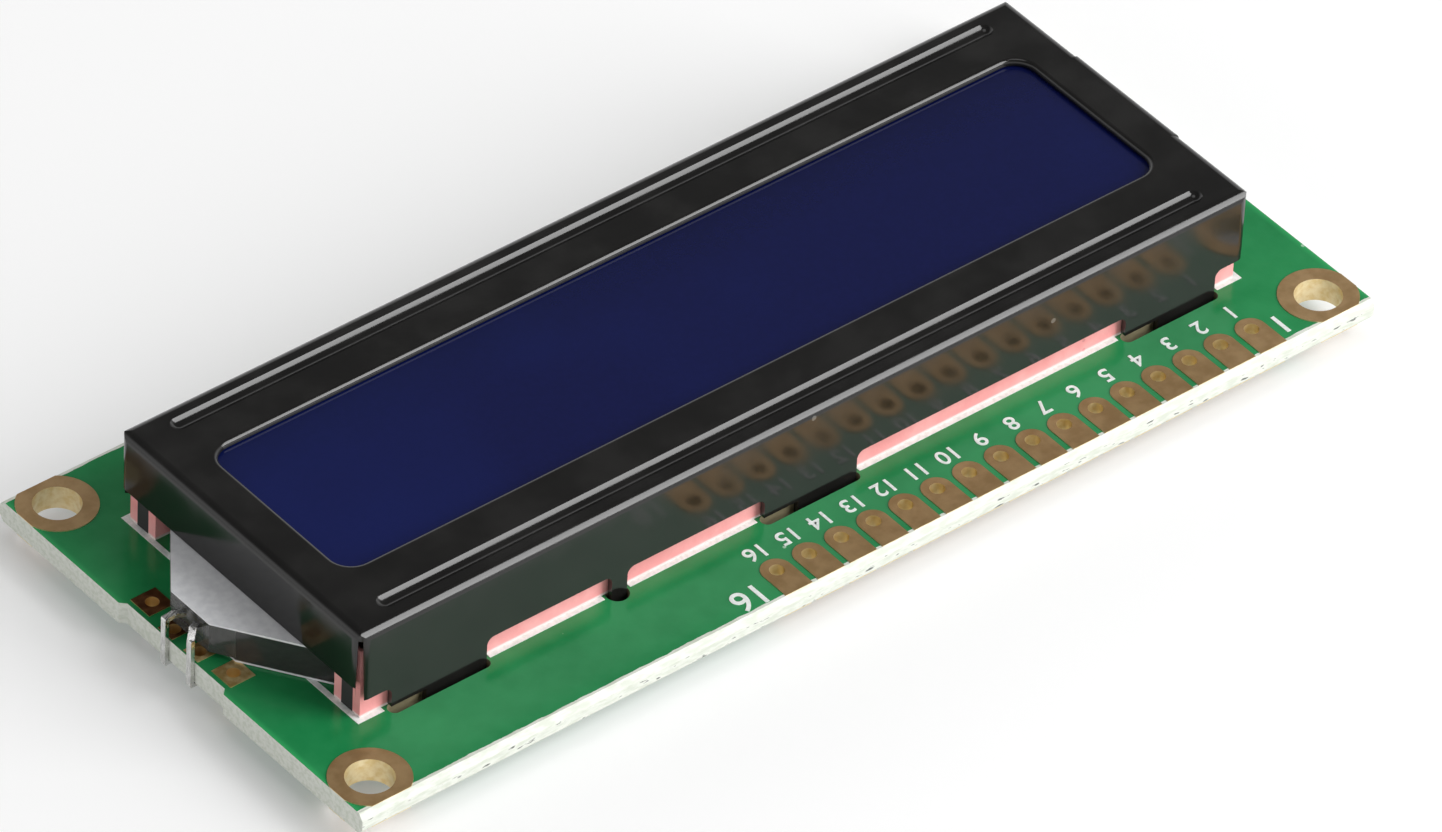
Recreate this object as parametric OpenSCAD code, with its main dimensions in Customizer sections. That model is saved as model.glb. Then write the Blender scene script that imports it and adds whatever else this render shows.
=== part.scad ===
// Character display module: a liquid crystal cell under a black pressed steel bezel,
// on a green circuit board, lit from one end by a lamp that shines into a clear guide.
// The frame's origin is the centre of the mounting hole pattern on the board's underside.
// +X runs to the right as the display is read, +Y to the header row, +Z out of the display.

/* [Board] */
// Length of the circuit board along X
board_l = 80; // [78:0.5:90]
// Width of the circuit board along Y
board_w = 36; // [36:0.5:42]
// Thickness of the bare board
board_t = 1.6; // [1.2:0.1:2]
// Width of the bevel that the V-score leaves along each long edge
score_w = 0.35; // [0.2:0.05:0.5]
// Depth of that bevel, from each face
score_d = 0.45; // [0.2:0.05:0.55]
// Length of the shallow bay in the board's edge at the lamp
bay_l = 10.4; // [8:0.2:14]
// Depth of that bay, and the length that each of its slanted ends takes
bay_d = 0.38; // [0.3:0.02:0.6]
// Thickness of the copper pads and of the plating in the holes
copper_t = 0.05; // [0.03:0.01:0.08]

/* [Mounting holes] */
// Distance from each board edge to the centres of the mounting holes
hole_inset = 2.5; // [2.5:0.1:3.5]
// Clear diameter of each plated mounting hole
hole_d = 3.1; // [2.5:0.1:3.3]
// Outer diameter of the copper ring around each mounting hole
hole_ring_d = 5.2; // [4.6:0.1:6]

/* [Header row] */
// Number of connection holes
pin_count = 16; // [14:1:16]
// Distance from one connection hole to the next
pin_pitch = 2.54; // [2:0.01:2.54]
// Distance from the board's left edge to the first hole
pin_first = 8; // [7.5:0.5:12]
// Distance from the board's near edge to the row of holes
pin_inset = 2.5; // [2.3:0.1:2.8]
// Clear diameter of each connection hole
pin_hole_d = 1; // [0.8:0.05:1.1]
// Width of each connection pad
pin_pad_w = 2.1; // [1.6:0.1:2.3]

/* [Bezel] */
// Length of the bezel along X
bezel_l = 70.2; // [68:0.2:72]
// Width of the bezel along Y
bezel_w = 23.8; // [23:0.2:24.6]
// Height of the bezel's face above the board
bezel_h = 7.1; // [6.8:0.1:8.5]
// Shift of the bezel from the board's centre along X
bezel_x = 0.2; // [-0.4:0.1:0.4]
// Shift of the bezel from the board's centre along Y
bezel_y = -0.4; // [-0.6:0.1:0]
// Thickness of the steel sheet
sheet_t = 0.4; // [0.3:0.05:0.5]
// Outer radius of the bends around the face
bend_r = 0.6; // [0.55:0.05:1]
// Radius of the bezel's upright corners
corner_r = 0.8; // [0.6:0.05:1]
// Width of the open slit at the foot of each upright corner
slit_foot_w = 0.7; // [0.4:0.05:0.9]
// Width of that slit at its upper end
slit_top_w = 0.3; // [0.2:0.05:0.4]
// Distance from the face down to the upper end of the slit
slit_drop = 0.6; // [0.6:0.05:1.5]

/* [Window] */
// Length of the window in the face
window_l = 64.1; // [60:0.1:64.5]
// Width of the window in the face
window_w = 13.6; // [12:0.1:14]
// Shift of the window from the bezel's centre along Y
window_y = -0.2; // [-0.4:0.1:0.4]
// Radius of the window's corners
window_r = 1.5; // [0.8:0.1:2]
// Radius of the rolled edge around the window
lip_r = 0.3; // [0.1:0.05:0.35]

/* [Stiffening grooves] */
// Length of the two pressed grooves beside the window
groove_l = 64.8; // [56:0.2:66]
// Width of each groove at the face
groove_w = 1.15; // [0.8:0.05:1.2]
// Depth of each groove, and of the ridge that it makes below the sheet
groove_d = 0.3; // [0.28:0.01:0.35]
// Distance from the bezel's centre to the middle of each groove
groove_y = 10.15; // [9.9:0.05:10.3]

/* [Bezel walls and tabs] */
// Distance from one foot of the long walls to the next
foot_pitch = 28.9; // [27:0.1:29.2]
// Width of each foot
foot_l = 7.3; // [6.5:0.1:7.5]
// Height of the feet's lower edge above the board
foot_gap = 0.25; // [0.1:0.05:0.4]
// Height of the wall's lower edge between the feet, above the board
notch_h = 1.8; // [1.2:0.05:2.2]
// Radius in the corners beside the feet
notch_r = 0.55; // [0.4:0.05:0.9]
// Width of the tab that leaves each foot and passes through the board
tab_l = 4.6; // [4:0.1:5]
// Distance that the tabs reach below the board
tab_drop = 1.5; // [1.3:0.05:2]
// Angle by which the tabs are twisted below the board
tab_twist = 32; // [20:1:45]
// Clearance along each end of a foot in its slot
slot_end_gap = 0.2; // [0.1:0.05:0.3]
// Clearance between the tabs and the slot's inner side
slot_in_gap = 0.1; // [0.05:0.05:0.2]
// Clearance between the tabs and the slot's outer side
slot_out_gap = 0.45; // [0.2:0.05:0.5]
// Distance from the bezel's centre to the locating peg along X
peg_x = 15; // [13:0.1:17]
// Width of the locating peg
peg_l = 1.2; // [0.8:0.1:1.3]
// Distance that the pegs reach below the board
peg_drop = 0.25; // [0:0.05:0.6]
// Smallest clearance around the locating peg in its hole
peg_gap = 0.15; // [0.1:0.05:0.3]
// Height above the board at which the short wall over the light guide ends
gate_h = 2.7; // [2.7:0.05:3.2]
// Height above the board at which the opposite short wall ends
rear_gate_h = 2; // [1:0.1:2.8]
// Length of the shallow swell in that wall
swell_l = 9.6; // [6:0.2:12]
// Height of the swell
swell_h = 0.12; // [0.1:0.02:0.3]

/* [Display cell] */
// Thickness of each glass plate
glass_t = 1.1; // [0.7:0.1:1.1]
// Clearance from the glass to the bezel's walls
glass_gap = 0.35; // [0.3:0.05:0.5]
// Thickness of the seal between the plates
seal_t = 0.05; // [0.03:0.01:0.06]
// Width of the seal
seal_w = 0.8; // [0.6:0.1:1.2]
// Width of the bead that closes the filling port
plug_w = 4; // [2:0.5:6]
// Clearance from that bead to the bezel's wall
plug_gap = 0.1; // [0.05:0.01:0.15]
// Thickness of each polarizer film
polarizer_t = 0.2; // [0.15:0.01:0.25]
// Overlap of the front polarizer beyond the window
polarizer_lap = 1.2; // [0.8:0.1:1.5]
// Glass left bare at each end of the rear polarizer
rear_end_margin = 1; // [0.5:0.1:2]
// Glass left bare along each side of the rear polarizer
rear_side_margin = 0.5; // [0.2:0.1:1]
// Width of each contact strip
strip_w = 2.5; // [1.8:0.1:2.6]
// Width of the conductive core in the middle of each contact strip
core_w = 1.1; // [0.6:0.05:1.4]
// Clearance from the contact strips to the bezel's long walls
strip_gap = 0.15; // [0.1:0.05:0.35]
// Clearance from the strips' ends to the short walls
strip_end_gap = 0.15; // [0.1:0.05:0.5]
// Clearance from what lies between the contact strips to each strip
inner_gap = 0.2; // [0.1:0.05:0.4]

/* [Backlight] */
// Thickness of the light guide
guide_t = 2.3; // [1.8:0.05:2.35]
// Thickness of the white films above and below the guide
film_t = 0.15; // [0.1:0.01:0.15]
// Distance from the inside of the lamp end wall to the start of the guide's taper
taper_inset = 1.1; // [0.6:0.1:3]
// Length of the white film on the guide's nose, measured from the lamp's outer face
nose_film_l = 4.8; // [4:0.05:6]
// Width of the guide's nose at the lamp
nose_w = 3.8; // [3.4:0.1:4.4]
// Distance from the board's edge back to the lamp's outer face
lamp_inset = 1.4; // [1.2:0.05:1.8]
// Shift of the lamp from the board's centre along Y
lamp_y = -0.8; // [-1.4:0.1:0]
// Depth of the lamp's body along X
lamp_d = 0.95; // [0.8:0.05:1.2]
// Height of the lamp's body, whose top is level with the guide's
lamp_h = 2.15; // [1.8:0.05:2.3]
// Distance between the lamp's two legs where they leave it
leg_root_pitch = 1; // [0.8:0.05:2]
// Distance between the two legs at the board's edge
leg_pitch = 2.54; // [2:0.02:2.6]
// Distance that both legs lean along Y on their way to the board's edge
leg_lean = 0.4; // [0:0.05:0.45]
// Height above the board at which the legs leave the lamp
leg_out_h = 1.65; // [1:0.05:1.8]
// Width of each leg
leg_w = 0.45; // [0.3:0.05:0.6]
// Thickness of each leg
leg_t = 0.28; // [0.2:0.02:0.3]
// Clearance from the legs to the board's edge
leg_gap = 0.05; // [0.03:0.01:0.08]

/* [Lamp pads] */
// Distance from the board's edge to the outer pads
outer_pad_inset = 1.65; // [1.5:0.05:2]
// Distance from the board's edge to the inner pads
inner_pad_inset = 1.2; // [1.15:0.05:1.5]
// Distance between the two outer square pads
outer_pad_pitch = 8.06; // [7.6:0.02:9]
// Side of the outer square pads
outer_pad_w = 1.9; // [1.6:0.1:2]
// Side of the inner square pads that the legs are soldered under
inner_pad_w = 1.4; // [1.2:0.05:1.5]
// Clear diameter of the holes in the lamp pads
lamp_hole_d = 0.9; // [0.7:0.05:1]

/* [Printed outline] */
// Clearance from the pads to the printed line
line_gap = 0.1; // [0.05:0.01:0.15]
// Width of the white line printed around the contact strips
line_w = 0.4; // [0.2:0.05:0.45]
// Thickness of the printed ink
ink_t = 0.03; // [0.02:0.01:0.04]

/* [Parts on the underside] */
// Diameter of each epoxy dome
dome_d = 13; // [10:0.5:14]
// Height of each epoxy dome
dome_h = 1.25; // [1:0.05:1.25]
// Distance of each epoxy dome from the board's centre along X
dome_x = 15; // [12:0.5:17]
// Shift of the epoxy domes from the board's centre along Y
dome_y = -1; // [-3:0.5:2]
// Side of the bare chip under each dome
die_w = 3.6; // [2:0.1:4]
// Thickness of the bare chips
die_t = 0.35; // [0.2:0.05:0.4]
// Length of each surface mounted part
chip_l = 2; // [1.6:0.1:2.1]
// Width of each surface mounted part
chip_w = 1.25; // [0.8:0.05:1.3]
// Distance from the bezel's near wall to the row of resistors
resistor_inset = 2.9; // [2.5:0.1:3.1]
// Distance from one resistor to the next
resistor_pitch = 3.4; // [2:0.1:3.6]
// Height of the resistors
resistor_h = 0.5; // [0.35:0.05:0.6]
// Distance from the bezel's far wall to the row of capacitors
capacitor_inset = 3.5; // [2.5:0.1:3.9]
// Distance from one capacitor to the next
capacitor_pitch = 24.5; // [20:0.5:28]
// Height of the capacitors
capacitor_h = 0.9; // [0.6:0.05:1]
// Length of each metal end of a surface mounted part
cap_l = 0.4; // [0.25:0.05:0.5]

/* [Hidden] */

$fn = 48;
over = 1; // how far each cutter passes beyond what it cuts

// Holes and pads in the board
hole_x = board_l / 2 - hole_inset;
hole_y = board_w / 2 - hole_inset;
pin_x0 = pin_first - board_l / 2;
pin_y = board_w / 2 - pin_inset;
flat_w = board_w - 2 * score_w; // width of the board's faces between the score bevels
bay_x = board_l / 2 - bay_d; // the board's edge inside the bay
inner_pad_x = board_l / 2 - inner_pad_inset;
outer_pad_x = board_l / 2 - outer_pad_inset;

// Bezel
face_z = board_t + bezel_h;
under_z = face_z - sheet_t; // underside of the face
foot_z = board_t + foot_gap;
room_l = bezel_l - 2 * sheet_t; // space between the short walls
room_w = bezel_w - 2 * sheet_t; // space between the long walls
foot_xs = [-foot_pitch, 0, foot_pitch]; // middles of the feet, from the bezel's centre
tab_shift = (tab_l - foot_l) / 2; // each tab leaves its foot at the foot's left end
weld = sheet_t; // how far the tabs and pegs run up into the wall
wall_y = bezel_w / 2 - sheet_t / 2; // middle of a long wall, from the bezel's centre
peg_hole_d = 2 * (norm([peg_l, sheet_t]) / 2 + peg_gap);
// Middle and half width of what reaches down to the board along a long wall, in order along X
supports = [
    [foot_xs[0], foot_l / 2], [foot_xs[1], foot_l / 2], [peg_x, peg_l / 2], [foot_xs[2], foot_l / 2]
];

// Display cell, from the front glass down
glass_top = under_z - groove_d;
glass_z = glass_top - glass_t;
rear_top = glass_z - seal_t;
rear_z = rear_top - glass_t;
cell_l = room_l - 2 * glass_gap;
front_w = room_w - 2 * glass_gap;
between_w = room_w - 2 * (strip_gap + strip_w + inner_gap); // space between the contact strips

// Backlight, from the board up
film_z = board_t + max(ink_t, copper_t); // the lower film lies on the line and the pads
guide_z = film_z + film_t;
guide_top = guide_z + guide_t;
room_x0 = bezel_x - room_l / 2;
room_x1 = bezel_x + room_l / 2;
taper_x = room_x1 - taper_inset;
nose_x = board_l / 2 - lamp_inset;
lamp_x = nose_x - lamp_d;
lamp_z = guide_top - lamp_h;
nose_film_x = nose_x - nose_film_l;
leg_x = bay_x + leg_gap + leg_t / 2;
leg_out_z = board_t + leg_out_h;
leg_under_z = -copper_t - leg_t / 2;

// Rows of parts on the underside
resistor_y = bezel_y + wall_y - resistor_inset;
capacitor_y = bezel_y - wall_y + capacitor_inset;

// A rectangle with round corners, centred
module rounded_rect(l, w, r) {
    square([l - 2 * r, w], center = true);
    square([l, w - 2 * r], center = true);
    for (x = [-1, 1], y = [-1, 1])
        translate([x * (l / 2 - r), y * (w / 2 - r)]) circle(r);
}

// A slot with round ends, centred and along X
module stadium(l, w) {
    square([l - w, w], center = true);
    for (x = [-1, 1]) translate([x * (l - w) / 2, 0]) circle(d = w);
}

// An upright rectangle that stands on y = 0, with its two upper corners round
module arch(w, h, r) {
    translate([-w / 2, 0]) square([w, h - r]);
    translate([-w / 2 + r, 0]) square([w - 2 * r, h]);
    for (x = [-1, 1]) translate([x * (w / 2 - r), h - r]) circle(r);
}

// Raises a profile drawn in X and Z and runs it along Y, from y = -l / 2 to y = l / 2
module along_y(l) {
    translate([0, l / 2, 0]) rotate([90, 0, 0]) linear_extrude(l) children();
}

// Raises a profile drawn in Y and Z and runs it along X, from x = -l / 2 to x = l / 2
module along_x(l) {
    translate([-l / 2, 0, 0]) rotate([90, 0, 90]) linear_extrude(l) children();
}

// The four places that are mirrored about the board's centre
module four_corners(x, y) {
    for (i = [-1, 1], j = [-1, 1]) translate([i * x, j * y, 0]) children();
}

// The two long sides of the bezel, with the near one first
module both_long_sides() {
    for (side = [1, -1]) translate([bezel_x, bezel_y + side * wall_y, 0]) children();
}

module pin_places() {
    for (i = [0 : pin_count - 1]) translate([pin_x0 + i * pin_pitch, pin_y, 0]) children();
}

// The two lamp pads of one kind
module lamp_pad_places(x, pitch) {
    for (side = [-1, 1]) translate([x, lamp_y + side * pitch / 2, 0]) children();
}

// ---------------------------------------------------------------- circuit board

// Outline across the board, with the bevels of the two scored edges
module board_section() {
    polygon([
        [-flat_w / 2, 0], [flat_w / 2, 0], [board_w / 2, score_d], [board_w / 2, board_t - score_d],
        [flat_w / 2, board_t], [-flat_w / 2, board_t], [-board_w / 2, board_t - score_d],
        [-board_w / 2, score_d]
    ]);
}

module board_drill(d) {
    translate([0, 0, -over]) cylinder(d = d, h = board_t + 2 * over);
}

// Slots for the bezel's tabs, and the round holes for its pegs
module tab_slots() {
    slot_w = sheet_t + slot_in_gap + slot_out_gap;
    slot_y = wall_y + (slot_out_gap - slot_in_gap) / 2;
    for (side = [1, -1], x = foot_xs)
        translate([bezel_x + x, bezel_y + side * slot_y, -over]) linear_extrude(board_t + 2 * over) stadium(foot_l + 2 * slot_end_gap, slot_w);
    both_long_sides() translate([peg_x, 0, 0]) board_drill(peg_hole_d);
}

// The shallow bay in the board's edge, with its bottom along Y and both ends slanted
module bay_outline() {
    half = bay_l / 2;
    polygon([[0, bay_d - half], [over, -half - over + bay_d], [over, half + over - bay_d], [0, half - bay_d]]);
}

module printed_circuit_board() {
    color("seagreen") difference() {
        along_x(board_l) board_section();
        four_corners(hole_x, hole_y) board_drill(hole_d + 2 * copper_t);
        pin_places() board_drill(pin_hole_d + 2 * copper_t);
        lamp_pad_places(outer_pad_x, outer_pad_pitch) board_drill(lamp_hole_d + 2 * copper_t);
        lamp_pad_places(inner_pad_x, leg_pitch) board_drill(lamp_hole_d + 2 * copper_t);
        tab_slots();
        translate([bay_x, lamp_y, -over]) linear_extrude(board_t + 2 * over) bay_outline();
    }
}

// A plated hole: a tube through the board, with the pad given as a child on both faces
module plated_hole(d) {
    difference() {
        union() {
            cylinder(d = d + 2 * copper_t, h = board_t);
            for (z = [-copper_t, board_t]) translate([0, 0, z]) linear_extrude(copper_t) children();
        }
        board_drill(d);
    }
}

module mounting_hole_plating() {
    color("goldenrod") intersection() {
        four_corners(hole_x, hole_y) plated_hole(hole_d) circle(d = hole_ring_d);
        cube([board_l, flat_w, 4 * board_t], center = true);
    }
}

// A connection pad: round towards the display, with straight sides out to the board's edge
module pin_pad() {
    circle(d = pin_pad_w);
    translate([-pin_pad_w / 2, 0]) square([pin_pad_w, flat_w / 2 - pin_y]);
}

module header_pads() {
    color("goldenrod") pin_places() plated_hole(pin_hole_d) pin_pad();
}

module lamp_pads() {
    color("khaki") {
        lamp_pad_places(outer_pad_x, outer_pad_pitch)
            plated_hole(lamp_hole_d) square(outer_pad_w, center = true);
        lamp_pad_places(inner_pad_x, leg_pitch)
            plated_hole(lamp_hole_d) square(inner_pad_w, center = true);
    }
}

// Space that the printed line leaves around a square pad
module pad_clearance(w) {
    cube([w + 2 * line_gap, w + 2 * line_gap, 4 * copper_t], center = true);
}

// White line around the contact strips, broken at the slots, the peg holes and the lamp's pads
module printed_outline() {
    inner_l = room_l - 2 * strip_end_gap;
    inner_w = room_w - 2 * strip_gap;
    color("white") difference() {
        translate([bezel_x, bezel_y, board_t]) linear_extrude(ink_t) difference() {
            square([inner_l + 2 * line_w, inner_w + 2 * line_w], center = true);
            square([inner_l, inner_w], center = true);
        }
        both_long_sides() {
            for (x = foot_xs) translate([x, 0, board_t])
                cube([foot_l + 4 * slot_end_gap, 4 * line_w, 4 * ink_t], center = true);
            translate([peg_x, 0, board_t])
                cube([peg_hole_d + 2 * slot_end_gap, 4 * line_w, 4 * ink_t], center = true);
        }
        translate([0, 0, board_t]) {
            lamp_pad_places(outer_pad_x, outer_pad_pitch) pad_clearance(outer_pad_w);
            lamp_pad_places(inner_pad_x, leg_pitch) pad_clearance(inner_pad_w);
        }
    }
}

// ---------------------------------------------------------------- bezel

// A block from low_z up to top_z, with round upright corners and a round upper edge
module bent_block(l, w, low_z, top_z, bend, corner) {
    h = top_z - low_z;
    translate([bezel_x, bezel_y, low_z]) intersection() {
        linear_extrude(h) rounded_rect(l, w, corner);
        along_x(l + over) arch(w, h, bend);
        along_y(w + over) arch(l, h, bend);
    }
}

module outer_block() {
    bent_block(bezel_l, bezel_w, foot_z, face_z, bend_r, corner_r);
}

module inner_block() {
    bent_block(room_l, room_w, foot_z - over, under_z, bend_r - sheet_t, corner_r - sheet_t);
}

// What lies within l of the middle of the short wall that is furthest from the lamp
module swell_part(l) {
    intersection() {
        translate([-swell_h, 0, 0]) children();
        translate([bezel_x - bezel_l / 2 - over, bezel_y - l / 2, 0])
            cube([over + bend_r, l, face_z + over]);
    }
}

// The folded sheet: a face with four walls, and the swell in one short wall
module folded_sheet() {
    difference() {
        union() {
            outer_block();
            swell_part(swell_l) outer_block();
        }
        inner_block();
        swell_part(swell_l - 2 * sheet_t) inner_block();
    }
}

// Section of the material taken off to round the window's upper edge
module lip_section() {
    reach = window_r / 2;
    difference() {
        translate([-reach, -lip_r]) square([reach + lip_r, lip_r + over]);
        translate([lip_r, -lip_r]) circle(lip_r);
    }
}

// The window, with its rolled upper edge
module window_cutter() {
    run_l = window_l - 2 * window_r;
    run_w = window_w - 2 * window_r;
    translate([bezel_x, bezel_y + window_y, under_z - over])
        linear_extrude(sheet_t + 2 * over) rounded_rect(window_l, window_w, window_r);
    translate([bezel_x, bezel_y + window_y, face_z]) for (i = [0, 1], j = [0, 1])
        mirror([i, 0, 0]) mirror([0, j, 0]) {
            if (i == 0) translate([0, window_w / 2, 0]) along_x(run_l) lip_section();
            if (j == 0) translate([window_l / 2, 0, 0]) along_y(run_w) lip_section();
            translate([run_l / 2, run_w / 2, 0])
                rotate_extrude(angle = 90) translate([window_r, 0]) lip_section();
        }
}

module groove_places(z) {
    for (side = [-1, 1]) translate([bezel_x, bezel_y + side * groove_y, z]) children();
}

// A groove groove_d deep: the lower part of a round bar with ball ends
module groove_bar() {
    r = (groove_w * groove_w / 4 + groove_d * groove_d) / (2 * groove_d);
    run = groove_l - groove_w;
    translate([0, 0, r - groove_d]) {
        rotate([0, 90, 0]) cylinder(r = r, h = run, center = true);
        for (x = [-1, 1]) translate([x * run / 2, 0, 0]) sphere(r);
    }
}

// The ridge that a groove makes below the face, and that presses on the front glass
module groove_ridge() {
    linear_extrude(sheet_t) stadium(groove_l + sheet_t, groove_w + sheet_t);
}

// The openings along the foot of the long walls, between one support and the next
module wall_notches() {
    n = len(supports);
    starts = concat([-bezel_l / 2 - over], [for (s = supports) s[0] + s[1]]);
    ends = concat([for (s = supports) s[0] - s[1]], [bezel_l / 2 + over]);
    both_long_sides() translate([0, 0, board_t - over]) along_y(2 * sheet_t)
        for (i = [0 : n]) translate([(starts[i] + ends[i]) / 2, 0])
            arch(ends[i] - starts[i], notch_h + over, notch_r);
}

// What is cut from the foot of a short wall, from corner to corner; side is 1 at the lamp
module gate(side, h) {
    translate([bezel_x + side * (room_l + over) / 2, bezel_y, board_t])
        cube([over, bezel_w + over, 2 * h], center = true);
}

// The tapered slits that folding leaves open at the upright corners
module corner_slits() {
    low = board_t - over;
    high = face_z - slit_drop;
    for (i = [-1, 1], j = [-1, 1])
        translate([
            bezel_x + i * (bezel_l - corner_r) / 2, bezel_y + j * (bezel_w - corner_r) / 2, 0
        ]) rotate([0, 0, -45 * i * j]) along_y(3 * corner_r) polygon([
            [-slit_foot_w / 2, low], [slit_foot_w / 2, low],
            [slit_top_w / 2, high], [-slit_top_w / 2, high]
        ]);
}

// A tab through the board, turned below it in small steps so that it holds
module tab() {
    steps = 5;
    step_h = tab_drop / 12;
    translate([-tab_l / 2, -sheet_t / 2, 0]) cube([tab_l, sheet_t, foot_z + weld]);
    for (i = [1 : steps]) {
        low = i < steps ? i * step_h : tab_drop;
        rotate([0, 0, tab_twist * i / steps]) translate([-tab_l / 2, -sheet_t / 2, -low])
            cube([tab_l, sheet_t, low - (i - 1) * step_h]);
    }
}

// A straight peg through its round hole in the board
module peg() {
    translate([-peg_l / 2, -sheet_t / 2, -peg_drop]) cube([peg_l, sheet_t, peg_drop + foot_z + weld]);
}

module bezel() {
    color("#1a1a1c") {
        difference() {
            union() {
                folded_sheet();
                groove_places(glass_top) groove_ridge();
            }
            window_cutter();
            groove_places(face_z) groove_bar();
            wall_notches();
            gate(1, gate_h);
            gate(-1, rear_gate_h);
            corner_slits();
        }
        both_long_sides() {
            for (x = foot_xs) translate([x + tab_shift, 0, 0]) tab();
            translate([peg_x, 0, 0]) peg();
        }
    }
}

// ---------------------------------------------------------------- display cell

module plate(l, w, z, t) {
    translate([bezel_x - l / 2, bezel_y - w / 2, z]) cube([l, w, t]);
}

module front_polarizer() {
    color("#10184a") translate([0, window_y, 0])
        plate(window_l + 2 * polarizer_lap, window_w + 2 * polarizer_lap, glass_top, polarizer_t);
}

module front_glass() {
    color("lightsteelblue", 0.6) plate(cell_l, front_w, glass_z, glass_t);
}

module cell_seal() {
    color("dimgray") difference() {
        plate(cell_l, between_w, rear_top, seal_t);
        plate(cell_l - 2 * seal_w, between_w - 2 * seal_w, rear_top - over, seal_t + 2 * over);
    }
}

// The bead that closes the filling port at the end of the cell
module fill_port_plug() {
    bead_t = glass_gap - plug_gap;
    color("ivory") translate([
        bezel_x - cell_l / 2 - bead_t, bezel_y - plug_w / 2, rear_z + glass_t / 2
    ]) cube([bead_t, plug_w, glass_t + seal_t]);
}

module rear_glass() {
    color("lightsteelblue", 0.6) plate(cell_l, between_w, rear_z, glass_t);
}

module rear_polarizer() {
    l = cell_l - 2 * rear_end_margin;
    w = between_w - 2 * rear_side_margin;
    color("#202860") plate(l, w, rear_z - polarizer_t, polarizer_t);
}

// A bar w wide between the board and the front glass, longer and taller by extra at each end;
// side is 1 along the near long wall
module contact_bar(side, w, extra = 0) {
    l = room_l - 2 * strip_end_gap + 2 * extra;
    translate([
        bezel_x - l / 2, bezel_y + side * (room_w / 2 - strip_gap - strip_w / 2) - w / 2,
        board_t - extra
    ]) cube([l, w, glass_z - board_t + 2 * extra]);
}

// The insulating rubber on both sides of the core
module contact_strip(side) {
    color("pink") difference() {
        contact_bar(side, strip_w);
        contact_bar(side, core_w, over);
    }
}

module contact_core(side) {
    color("#282828") contact_bar(side, core_w);
}

// ---------------------------------------------------------------- backlight

// Plan of the light guide and the lamp: a long panel that narrows to a nose at the lamp
module guide_plan() {
    half = between_w / 2;
    polygon([
        [room_x0 + glass_gap, bezel_y - half], [taper_x, bezel_y - half],
        [nose_x, lamp_y - nose_w / 2], [nose_x, lamp_y + nose_w / 2],
        [taper_x, bezel_y + half], [room_x0 + glass_gap, bezel_y + half]
    ]);
}

// The part of the guide's plan between two places along X
module guide_slice(from_x, to_x) {
    intersection() {
        guide_plan();
        translate([from_x, -board_w]) square([to_x - from_x, 2 * board_w]);
    }
}

module light_guide() {
    color("white", 0.5) translate([0, 0, guide_z])
        linear_extrude(guide_t) guide_slice(room_x0, lamp_x);
}

module reflector_film() {
    color("white") translate([0, 0, film_z])
        linear_extrude(film_t) guide_slice(room_x0, lamp_x);
}

// A film over the guide: one over the lit area, and a white one over the nose and the lamp
module guide_cover(from_x, to_x) {
    translate([0, 0, guide_top]) linear_extrude(film_t) guide_slice(from_x, to_x);
}

module diffuser_film() {
    color("whitesmoke") guide_cover(room_x0, nose_film_x);
}

module nose_film() {
    color("white") guide_cover(nose_film_x, nose_x);
}

// The cup in the lamp's inner face, which the phosphor fills
module lamp_cup(reach) {
    cup_d = lamp_d * 0.6;
    cup_w = nose_w * 0.6;
    cup_h = lamp_h * 0.5;
    translate([lamp_x - reach, lamp_y - cup_w / 2, lamp_z + (lamp_h - cup_h) / 2])
        cube([reach + cup_d, cup_w, cup_h]);
}

module lamp_body() {
    color("gainsboro", 0.6) difference() {
        translate([0, 0, lamp_z]) linear_extrude(lamp_h) guide_slice(lamp_x, nose_x);
        lamp_cup(over);
    }
}

module lamp_phosphor() {
    color("khaki") lamp_cup(0);
}

// A straight stretch of a leg from one point to another
module leg_run(from, to) {
    way = to - from;
    run = norm(way);
    translate(from) rotate([0, -asin(way.z / run), atan2(way.y, way.x)])
        translate([0, -leg_w / 2, -leg_t / 2]) cube([run, leg_w, leg_t]);
}

// A leg: out of the lamp, over the board's edge and back under the board
module lamp_leg(side) {
    root_y = lamp_y + side * leg_root_pitch / 2;
    edge_y = lamp_y + leg_lean + side * leg_pitch / 2;
    arch_h = leg_t;
    route = [
        [nose_x - leg_t, root_y, leg_out_z],
        [(nose_x + leg_x) / 2, (root_y + edge_y) / 2, leg_out_z + arch_h],
        [leg_x, edge_y, leg_out_z],
        [leg_x, edge_y, leg_under_z],
        [inner_pad_x, edge_y, leg_under_z]
    ];
    difference() {
        union() {
            for (i = [0 : len(route) - 2]) leg_run(route[i], route[i + 1]);
            for (i = [1 : len(route) - 2]) translate(route[i])
                rotate([90, 0, 0]) cylinder(d = leg_t, h = leg_w, center = true);
        }
        translate([nose_x - board_t, -board_w, board_t]) cube([board_t, 2 * board_w, board_w]);
    }
}

// A cap of a ball that hangs h below z = 0 and is d across there
module cap_below(d, h) {
    r = (d * d / 4 + h * h) / (2 * h);
    rotate_extrude() intersection() {
        translate([0, r - h]) circle(r, $fn = 720);
        translate([0, -h - over]) square([d, h + over]);
    }
}

// The solder that holds a leg to its inner pad
module leg_solder(side) {
    color("silver") difference() {
        translate([inner_pad_x, lamp_y + side * leg_pitch / 2, -copper_t])
            cap_below(inner_pad_w, 2 * leg_t);
        lamp_leg(side);
    }
}

// ---------------------------------------------------------------- underside

module die(x) {
    translate([x - die_w / 2, dome_y - die_w / 2, -die_t]) cube([die_w, die_w, die_t]);
}

// Black epoxy poured over a bare chip
module dome(x) {
    difference() {
        translate([x, dome_y, 0]) cap_below(dome_d, dome_h);
        die(x);
    }
}

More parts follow.
